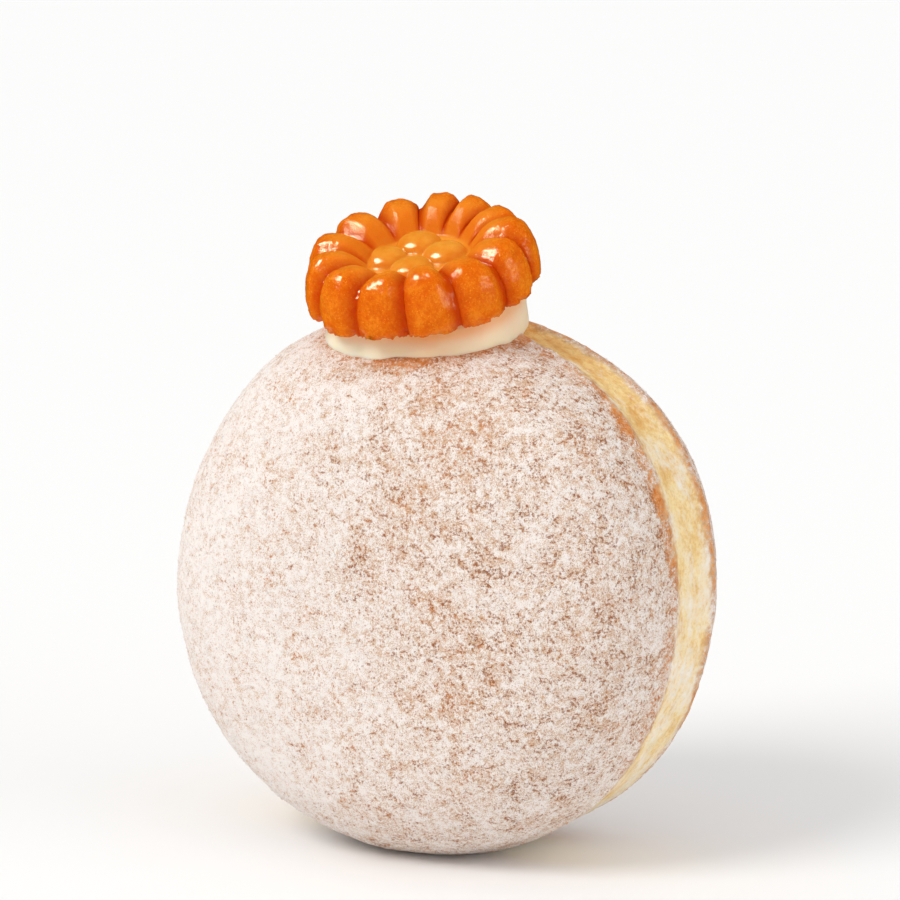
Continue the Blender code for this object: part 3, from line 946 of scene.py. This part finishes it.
class Nodes:
    """Short way to build a material's nodes and join them."""

    def __init__(self, name):
        self.material = bpy.data.materials.new(name)
        self.material.use_nodes = True
        self.tree = self.material.node_tree
        self.shader = self.tree.nodes["Principled BSDF"]

    def add(self, kind, **settings):
        node = self.tree.nodes.new(kind)
        for name, value in settings.items():
            setattr(node, name, value)
        return node

    def set(self, socket, value):
        if isinstance(value, bpy.types.NodeSocket):
            self.tree.links.new(value, socket)
        else:
            socket.default_value = value

    def number(self, operation, first, second=0.0, clamp=False):
        node = self.add("ShaderNodeMath", operation=operation, use_clamp=clamp)
        self.set(node.inputs[0], first)
        self.set(node.inputs[1], second)
        return node.outputs[0]

    def attribute(self, name):
        return self.add("ShaderNodeAttribute", attribute_name=name).outputs["Fac"]

    def place(self, scale=(1.0, 1.0, 1.0)):
        """Object coordinates in metres, squeezed or stretched along the axes."""
        coordinates = self.add("ShaderNodeTexCoord")
        mapping = self.add("ShaderNodeMapping")
        mapping.inputs["Scale"].default_value = scale
        self.set(mapping.inputs["Vector"], coordinates.outputs["Object"])
        return mapping.outputs["Vector"]

    def noise(self, size, detail=3.0, roughness=0.6, scale=(1.0, 1.0, 1.0)):
        """Noise with lumps about as wide as size."""
        node = self.add("ShaderNodeTexNoise")
        self.set(node.inputs["Vector"], self.place(scale))
        node.inputs["Scale"].default_value = 1.0 / size
        node.inputs["Detail"].default_value = detail
        node.inputs["Roughness"].default_value = roughness
        return node.outputs["Fac"]

    def swing(self, value, amount):
        """A noise of 0 to 1 as a push of minus to plus half of amount."""
        return self.number("MULTIPLY", self.number("SUBTRACT", value, 0.5), amount)

    def ramp(self, value, stops):
        """Colour along a ramp of two or more stops, each a place and a screen colour."""
        node = self.add("ShaderNodeValToRGB")
        elements = node.color_ramp.elements
        for element, (position, colour) in zip(elements, (stops[0], stops[-1])):
            element.position = position
            element.color = (*linear(*colour), 1.0)
        for position, colour in stops[1:-1]:
            element = elements.new(position)
            element.color = (*linear(*colour), 1.0)
        self.set(node.inputs["Fac"], value)
        return node.outputs["Color"]

    def mix(self, share, first, second):
        """First colour turning into the second, which may be a screen colour."""
        node = self.add("ShaderNodeMix", data_type="RGBA")
        self.set(node.inputs["Factor"], share)
        self.set(node.inputs[MIX_FIRST], first)
        self.set(node.inputs[MIX_SECOND], (*linear(*second), 1.0) if isinstance(second, tuple) else second)
        return node.outputs[MIX_RESULT]

    def soft_share(self, value, start, gain):
        """Share that grows from 0 at start, by gain, up to 1."""
        return self.number("MULTIPLY", self.number("SUBTRACT", value, start), gain, True)

    def surface(self, specular, roughness=None):
        """Sets the sockets that are even over the whole surface."""
        self.shader.inputs["Specular IOR Level"].default_value = specular
        if roughness is not None:
            self.shader.inputs["Roughness"].default_value = roughness

    def glow(self, weight, radius, scale):
        """Light that goes a little way in and comes out again."""
        self.shader.inputs["Subsurface Weight"].default_value = weight
        self.shader.inputs["Subsurface Radius"].default_value = radius
        self.shader.inputs["Subsurface Scale"].default_value = scale

    def bump(self, height, distance, strength=1.0, normal=None):
        node = self.add("ShaderNodeBump")
        node.inputs["Strength"].default_value = strength
        node.inputs["Distance"].default_value = distance
        self.set(node.inputs["Height"], height)
        if normal:
            self.set(node.inputs["Normal"], normal)
        return node.outputs["Normal"]


def linear(red, green, blue):
    """Screen colour of 0 to 255 as the linear colour that a shader takes."""
    shares = []
    for value in (red, green, blue):
        share = value / 255.0
        shares.append(share / 12.92 if share <= 0.04045 else ((share + 0.055) / 1.055) ** 2.4)
    return tuple(shares)


def bare_share(n, powder, cluster, speck, grain):
    """Share of bare crust: specks where the noises are high and the powder is thin."""
    bare = n.number("ADD", n.swing(cluster, BARE_CLUSTERS), n.swing(speck, BARE_SPECKS))
    bare = n.number("ADD", bare, n.swing(grain, BARE_GRAIN))
    bare = n.number("ADD", bare, n.number("MULTIPLY", n.number("SUBTRACT", BARE_LEVEL, powder), BARE_POWDER))
    share = n.add("ShaderNodeMapRange", interpolation_type="SMOOTHSTEP")
    n.set(share.inputs["Value"], bare)
    share.inputs["From Min"].default_value = BARE_FROM
    share.inputs["From Max"].default_value = BARE_TO
    return share.outputs["Result"]


def sugar_colour(n, powder, puff, grain):
    white = n.number("SUBTRACT", n.number("MULTIPLY", powder, SUGAR_POWDER), SUGAR_OFFSET)
    white = n.number("ADD", white, n.swing(puff, SUGAR_PUFFS))
    return n.ramp(n.number("ADD", white, n.swing(grain, SUGAR_GRAIN)), SUGAR_RAMP)


def band_colour(n, powder, toast, speck, puff):
    """Golden crumb of the waist band, with the powder that lies on it."""
    streak = n.noise(0.0032, 2.0, 0.5, scale=(0.75, 1.0, 0.75))
    crumb = n.noise(0.0007, 3.0, 0.6)
    golden = n.number("SUBTRACT", n.number("ADD", streak, n.swing(crumb, 0.5)), n.swing(toast, 0.30))
    cover = n.number("ADD", powder, n.swing(speck, COVER_SPECKS))
    cover = n.number("ADD", cover, n.swing(puff, COVER_PUFFS))
    cover = n.soft_share(cover, COVER_LEVEL, COVER_GAIN)
    return n.mix(cover, n.ramp(golden, BAND_RAMP), BAND_POWDER_COLOUR)


def dough_material():
    """Fried crust under sugar: bare specks, thin sugar and thick sugar, and a pale waist band."""
    n = Nodes("powdered_crust_look")
    powder = n.attribute("powder")
    toast = n.attribute("toast")
    cluster = n.noise(0.0022, 4.0, 0.66, scale=(1.0, 1.0, 1.6))
    speck = n.noise(0.00044, 3.0, 0.65)
    grain = n.noise(0.00018, 2.0, 0.7)
    puff = n.noise(0.0010, 3.0, 0.55)

    bare = bare_share(n, powder, cluster, speck, grain)
    browned = n.number("ADD", n.number("ADD", toast, n.swing(speck, 1.6)), n.swing(cluster, 1.2))
    dusted = n.mix(bare, sugar_colour(n, powder, puff, grain), n.ramp(browned, CRUST_RAMP))
    edge = n.number("ADD", n.attribute("band"), n.swing(speck, 1.3))
    edge = n.number("ADD", edge, n.swing(puff, 0.8), True)
    n.set(n.shader.inputs["Base Color"], n.mix(edge, dusted, band_colour(n, powder, toast, speck, puff)))

    rough = n.add("ShaderNodeMapRange")
    n.set(rough.inputs["Value"], bare)
    rough.inputs["To Min"].default_value = 0.95
    rough.inputs["To Max"].default_value = 0.6
    n.set(n.shader.inputs["Roughness"], rough.outputs["Result"])
    n.surface(specular=0.25)
    n.glow(weight=0.08, radius=(1.0, 0.6, 0.4), scale=0.0008)

    height = n.number("SUBTRACT", n.number("ADD", puff, n.number("MULTIPLY", grain, 0.5)), bare)
    coarse = n.bump(height, distance=0.00006, strength=0.7)
    n.set(n.shader.inputs["Normal"], n.bump(grain, distance=0.00004, strength=0.6, normal=coarse))
    return n.material


def clump_material():
    """Dry white sugar."""
    n = Nodes("sugar_clump_look")
    grain = n.noise(0.0004, 2.0, 0.7)
    n.set(n.shader.inputs["Base Color"], n.ramp(grain, CLUMP_RAMP))
    n.surface(specular=0.25, roughness=0.95)
    n.set(n.shader.inputs["Normal"], n.bump(grain, distance=0.00004, strength=0.6))
    return n.material


def cream_material():
    """Smooth custard cream, warmer where the amber biscuit stands on it: syrup in the cream, plus painted
    shade and orange bounce light.
    """
    n = Nodes("custard_cream_look")
    cloud = n.noise(0.0045, 3.0, 0.55)
    fine = n.noise(0.0006, 3.0, 0.6)
    plain = n.ramp(n.number("ADD", cloud, n.swing(fine, 0.3)), CREAM_RAMP)
    # Painted shade and orange bounce light under the biscuit, mixed with the syrup's colour
    warm = n.number("ADD", n.attribute("tint"), n.swing(cloud, 0.35), True)
    n.set(n.shader.inputs["Base Color"], n.mix(warm, plain, SYRUP_SHADE_COLOUR))
    n.surface(specular=0.35, roughness=0.45)
    n.glow(weight=0.6, radius=(1.0, 0.7, 0.45), scale=0.0020)
    n.set(n.shader.inputs["Normal"], n.bump(fine, distance=0.00004, strength=0.4))
    return n.material


def amber_colour(n, heart, valley, cloud, grain, pits):
    """Amber with paler flecks that are partly painted glints, painted shade in the grooves and the valley
    round the middle, and a lighter middle and inner slopes with painted glow.
    """
    body = n.ramp(n.number("ADD", cloud, n.swing(grain, 0.9)), AMBER_RAMP)
    # Paler grain flecks, partly painted glints
    body = n.mix(n.soft_share(pits, FLECK_LEVEL, FLECK_GAIN), body, FLECK_GLINT_COLOUR)
    # Painted glow of light on the inner slopes
    body = n.mix(n.number("MULTIPLY", n.attribute("inner"), INNER_SHARE), body, INNER_GLOW_COLOUR)
    # Painted shade in the valley round the middle
    body = n.mix(n.number("MULTIPLY", valley, VALLEY_SHARE), body, VALLEY_SHADE_COLOUR)
    # Painted shade: darker red deep in the grooves
    body = n.mix(n.soft_share(n.attribute("groove"), GROOVE_LEVEL, GROOVE_GAIN), body, GROOVE_SHADE_COLOUR)
    # Yellower middle: its glaze plus painted glow
    return n.mix(heart, body, n.ramp(cloud, HEART_GLOW_RAMP))


def flower_material():
    """Syrup-soaked biscuit: amber with a wet coat, which is thin in the valley round the middle."""
    n = Nodes("amber_glaze_look")
    heart = n.attribute("heart")
    valley = n.attribute("valley")
    cloud = n.noise(0.0026, 4.0, 0.65)
    grain = n.noise(0.00050, 3.0, 0.7)
    pits = n.noise(0.00026, 2.0, 0.6)
    n.set(n.shader.inputs["Base Color"], amber_colour(n, heart, valley, cloud, grain, pits))
    n.surface(specular=0.0, roughness=0.42)
    n.glow(weight=0.35, radius=(1.0, 0.35, 0.08), scale=0.0016)
    coat = n.number("SUBTRACT", COAT_WEIGHT, n.number("MULTIPLY", valley, COAT_VALLEY))
    n.set(n.shader.inputs["Coat Weight"], coat)
    n.shader.inputs["Coat Roughness"].default_value = 0.15
    n.shader.inputs["Coat IOR"].default_value = 1.4
    rough_part = n.number("SUBTRACT", 1.0, n.number("MULTIPLY", heart, HEART_SMOOTHNESS))
    height = n.number("MULTIPLY", n.number("ADD", grain, pits), rough_part)
    n.set(n.shader.inputs["Normal"], n.bump(height, distance=0.00012, strength=0.9))
    shine = n.number("MULTIPLY", grain, rough_part)
    n.set(n.shader.inputs["Coat Normal"], n.bump(shine, distance=0.00008, strength=0.8))
    return n.material


def floor_material():
    n = Nodes("studio_floor_look")
    n.shader.inputs["Base Color"].default_value = FLOOR_COLOUR
    n.surface(specular=0.1, roughness=0.9)
    return n.material


def make_floor():
    mesh = bpy.data.meshes.new("studio_floor")
    corners = [(x * FLOOR_HALF, y * FLOOR_HALF, 0.0) for x, y in ((-1, -1), (1, -1), (1, 1), (-1, 1))]
    mesh.from_pydata(corners, [], [(0, 1, 2, 3)])
    mesh.materials.append(floor_material())
    floor = bpy.data.objects.new("studio_floor", mesh)
    floor.visible_glossy = False
    bpy.context.scene.collection.objects.link(floor)


def view_axes():
    back = Vector((math.sin(VIEW_AZIMUTH) * math.cos(VIEW_ELEVATION),
                   -math.cos(VIEW_AZIMUTH) * math.cos(VIEW_ELEVATION), math.sin(VIEW_ELEVATION)))
    right = Vector((math.cos(VIEW_AZIMUTH), math.sin(VIEW_AZIMUTH), 0.0))
    return right, back.cross(right), back


def make_camera():
    """Camera whose axis passes beside the disc's centre, so that the centre falls on its pixel."""
    right, up, back = view_axes()
    centre = Vector((0.0, 0.0, disc_centre_height()))
    half = IMAGE_SIZE / 2.0
    shift_right = (half - DISC_PIXEL_X) / PIXELS_PER_METRE
    shift_up = (DISC_PIXEL_Y - half) / PIXELS_PER_METRE
    aim = centre + right * shift_right + up * shift_up
    camera = bpy.data.cameras.new("camera")
    camera.sensor_width = SENSOR_WIDTH
    camera.lens = PIXELS_PER_METRE * VIEW_DISTANCE * SENSOR_WIDTH / IMAGE_SIZE
    camera.clip_start = CLIP_START
    holder = bpy.data.objects.new("camera", camera)
    turn = Matrix((right, up, back)).transposed().to_4x4()
    holder.matrix_world = Matrix.Translation(aim + back * VIEW_DISTANCE) @ turn
    bpy.context.scene.collection.objects.link(holder)
    bpy.context.scene.camera = holder


def light_direction(toward):
    """Direction to a light from its shares right of, above and towards the camera's view."""
    right, _, back = view_axes()
    return (right * toward[0] + Vector((0.0, 0.0, 1.0)) * toward[1] + back * toward[2]).normalized()


def sun_light(name, toward, angle, strength, colour):
    """Even light that reaches the floor as well; its angle makes it soft."""
    light = bpy.data.lights.new(name, "SUN")
    light.angle = angle
    light.energy = strength
    light.color = colour
    holder = bpy.data.objects.new(name, light)
    holder.rotation_euler = light_direction(toward).to_track_quat("Z", "Y").to_euler()
    holder.visible_glossy = False
    bpy.context.scene.collection.objects.link(holder)


def gloss_panel(name, toward, size, power):
    """Soft panel that only glossy surfaces mirror, for the shine on syrup and cream."""
    light = bpy.data.lights.new(name, "AREA")
    light.shape = "RECTANGLE"
    light.size, light.size_y = size
    light.energy = power
    light.color = PANEL_COLOUR
    holder = bpy.data.objects.new(name, light)
    direction = light_direction(toward)
    holder.location = PANEL_AIM + direction * PANEL_DISTANCE
    holder.rotation_euler = direction.to_track_quat("Z", "Y").to_euler()
    holder.visible_diffuse = False
    holder.visible_camera = False
    bpy.context.scene.collection.objects.link(holder)


def make_lights():
    sun_light("key_light", KEY_TOWARD, KEY_ANGLE, KEY_STRENGTH, KEY_COLOUR)
    sun_light("fill_light", FILL_TOWARD, FILL_ANGLE, FILL_STRENGTH, WHITE)
    gloss_panel("gloss_left", LEFT_PANEL_TOWARD, LEFT_PANEL_SIZE, LEFT_PANEL_POWER)
    gloss_panel("gloss_right", RIGHT_PANEL_TOWARD, RIGHT_PANEL_SIZE, RIGHT_PANEL_POWER)
    world = bpy.data.worlds.new("studio")
    world.use_nodes = True
    background = world.node_tree.nodes["Background"]
    background.inputs["Color"].default_value = (*WHITE, 1.0)
    background.inputs["Strength"].default_value = WORLD_STRENGTH
    world.cycles_visibility.glossy = False
    bpy.context.scene.world = world
    bpy.context.scene.view_settings.view_transform = "Standard"


def main():
    points, normals, powder = make_dough(dough_material())
    make_clumps(points, normals, powder, clump_material())
    make_cream(cream_material())
    make_flower(flower_material())
    make_floor()
    make_camera()
    make_lights()


main()
